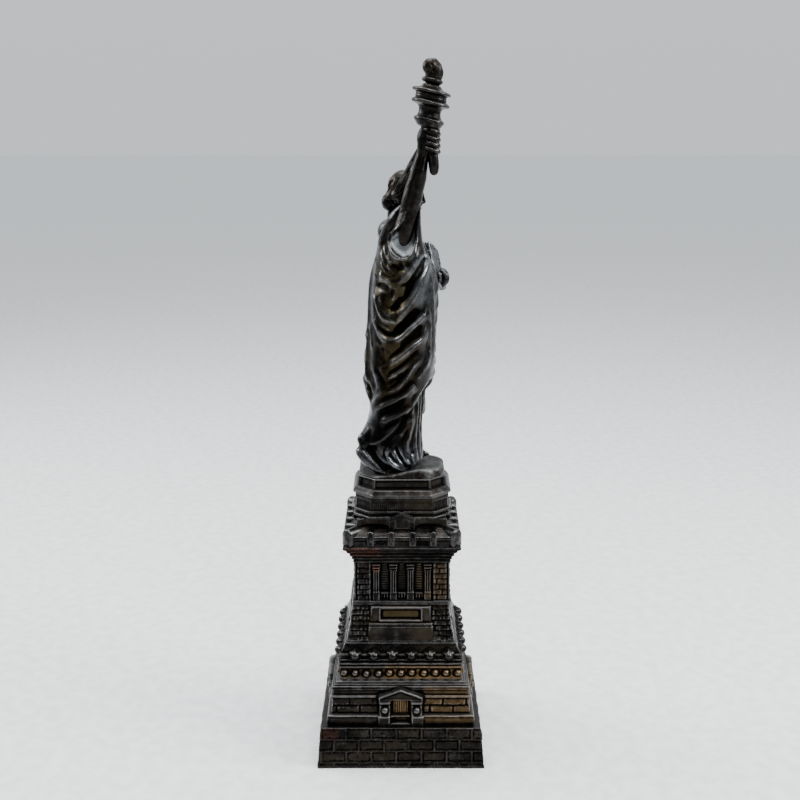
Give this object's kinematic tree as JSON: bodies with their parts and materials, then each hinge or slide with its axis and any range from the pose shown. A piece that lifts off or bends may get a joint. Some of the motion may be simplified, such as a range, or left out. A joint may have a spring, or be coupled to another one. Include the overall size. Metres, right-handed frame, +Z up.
{
  "type": "miniature landmark statue",
  "caption": "Souvenir model of a robed torch bearer with tablet and rayed diadem on a square stepped masonry pedestal, hollow castings on a central tie rod.",
  "frame": {"origin": "centre of the underside of the foundation block, on the surface it stands on", "axes": "+Z up along the stack, the figure faces -Y and its right side is -X"},
  "size_m": [0.0978, 0.0978, 0.4],
  "materials": {
    "pedestal_bronze": "dark bronze patina on cast metal, worn and dusty on the ledges",
    "gilt_bronze": "bronze patina rubbed through to a brassy tint on raised edges",
    "figure_bronze": "dark bronze patina with grey highlights on the folds",
    "steel": "plain zinc-plated steel"
  },
  "bodies": {
    "root": {"foundation_block": "pedestal_bronze", "door_tier": "gilt_bronze", "stud_course": "gilt_bronze", "shield_course": "pedestal_bronze", "panel_tier": "pedestal_bronze", "loggia_tier": "pedestal_bronze", "cornice": "pedestal_bronze", "parapet_tier": "pedestal_bronze", "fluted_neck": "pedestal_bronze", "octagonal_plinth": "pedestal_bronze", "figure_mound": "pedestal_bronze", "figure_body": "figure_bronze", "head": "figure_bronze", "crown": "figure_bronze", "right_arm": "figure_bronze", "torch_handle": "figure_bronze", "torch_gallery": "figure_bronze", "torch_flame": "figure_bronze", "left_arm": "figure_bronze", "tablet": "figure_bronze", "tie_rod": "steel", "rod_washer": "steel", "rod_nut": "steel", "arm_dowel": "steel", "head_dowel": "steel", "torch_pin": "steel"}
  },
  "joints": []
}
